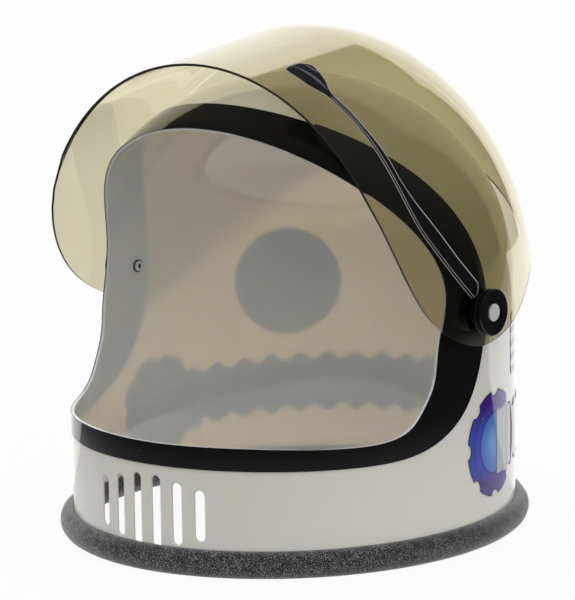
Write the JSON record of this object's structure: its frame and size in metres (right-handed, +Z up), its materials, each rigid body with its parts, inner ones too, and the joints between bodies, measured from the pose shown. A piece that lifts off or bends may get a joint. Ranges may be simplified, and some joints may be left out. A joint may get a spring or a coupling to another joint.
{
  "type": "astronaut helmet",
  "caption": "Toy space helmet: thin white bell with face opening, black trim, vents, foam neck edging and a tinted visor that tilts on two side knobs.",
  "frame": {"origin": "middle of the foam edging's flat base, on the floor", "axes": "+Z up, -Y towards the face opening, +X towards the wearer's left, along the visor's pivot axis"},
  "size_m": [0.2768, 0.29, 0.2908],
  "materials": {
    "shell_white": "glossy moulded, slightly translucent",
    "trim_black": "glossy film",
    "foam_grey": "soft foam skin, speckled",
    "visor_tint": "clear polished, smoke-gold tint",
    "knob_black": "glossy moulded",
    "rivet_metal": "frosted",
    "washer_nylon": "matt",
    "film_black": "printed film",
    "film_blue": "printed film",
    "film_red": "printed film",
    "film_grey": "printed film",
    "film_navy": "printed film"
  },
  "bodies": {
    "helmet": {"shell": "shell_white", "face_trim": "trim_black", "neck_edging": "foam_grey", "pivot_spacer_left": "knob_black", "pivot_spacer_right": "knob_black", "friction_washers_left": "washer_nylon", "friction_washers_right": "washer_nylon", "pivot_knob_left": "knob_black", "pivot_knob_right": "knob_black", "pivot_rivet_left": "rivet_metal", "pivot_rivet_right": "rivet_metal", "rivet_collar_left": "rivet_metal", "rivet_collar_right": "rivet_metal", "coupling_film_left": "film_blue", "coupling_film_right": "film_red", "hose_film_left": "film_grey", "hose_film_right": "film_grey", "badge_film": "film_navy", "patch_film": "film_grey"},
    "visor": {"visor": "visor_tint", "mic_film": "film_black"}
  },
  "joints": [
    {"name": "visor_tilt", "type": "hinge", "parent": "helmet", "child": "visor", "pos_m": [0, 0.0069, 0.1383], "axis": [1, 0, 0], "range_deg": [-15, 83.8]}
  ]
}
